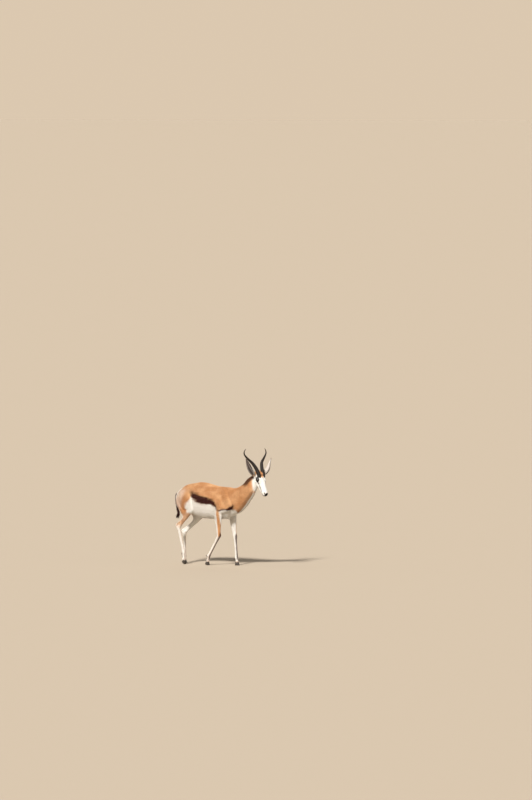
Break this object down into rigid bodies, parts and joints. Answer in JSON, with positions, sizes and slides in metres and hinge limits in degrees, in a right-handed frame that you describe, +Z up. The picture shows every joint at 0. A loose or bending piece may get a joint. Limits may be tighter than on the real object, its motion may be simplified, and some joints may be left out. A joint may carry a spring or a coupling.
{
  "type": "springbok ram figure",
  "caption": "Life-size still model of a springbok ram walking, head turned to its right, with ringed lyre-shaped horns, cupped ears, cloven hooves and a tufted tail.",
  "frame": {"origin": "centre of the bounding box on the floor that the hooves stand on", "axes": "+X forward to the chest, +Y to the animal's left, +Z up"},
  "size_m": [1.1308, 0.3114, 1.213],
  "materials": {
    "coat_cinnamon": "short cinnamon-brown fur, matte with a soft sheen",
    "coat_white": "short white fur, matte",
    "horn_black": "ringed black horn, satin, smooth towards the tip",
    "hoof_dark": "dark horn of the hooves, satin",
    "eye_dark": "very dark brown, wet and glossy"
  },
  "bodies": {
    "root": {"torso": "coat_cinnamon", "neck": "coat_cinnamon", "head": "coat_white", "foreleg_upper_left": "coat_cinnamon", "foreleg_lower_left": "coat_white", "foreleg_upper_right": "coat_cinnamon", "foreleg_lower_right": "coat_white", "hindleg_upper_left": "coat_cinnamon", "hindleg_lower_left": "coat_white", "hindleg_upper_right": "coat_cinnamon", "hindleg_lower_right": "coat_white", "ear_left": "coat_white", "eye_left": "eye_dark", "horn_left": "horn_black", "ear_right": "coat_white", "eye_right": "eye_dark", "horn_right": "horn_black", "tail": "coat_white", "hoof_fore_left_inner": "hoof_dark", "hoof_fore_left_outer": "hoof_dark", "hoof_fore_right_inner": "hoof_dark", "hoof_fore_right_outer": "hoof_dark", "hoof_hind_left_inner": "hoof_dark", "hoof_hind_left_outer": "hoof_dark", "hoof_hind_right_inner": "hoof_dark", "hoof_hind_right_outer": "hoof_dark"}
  },
  "joints": []
}
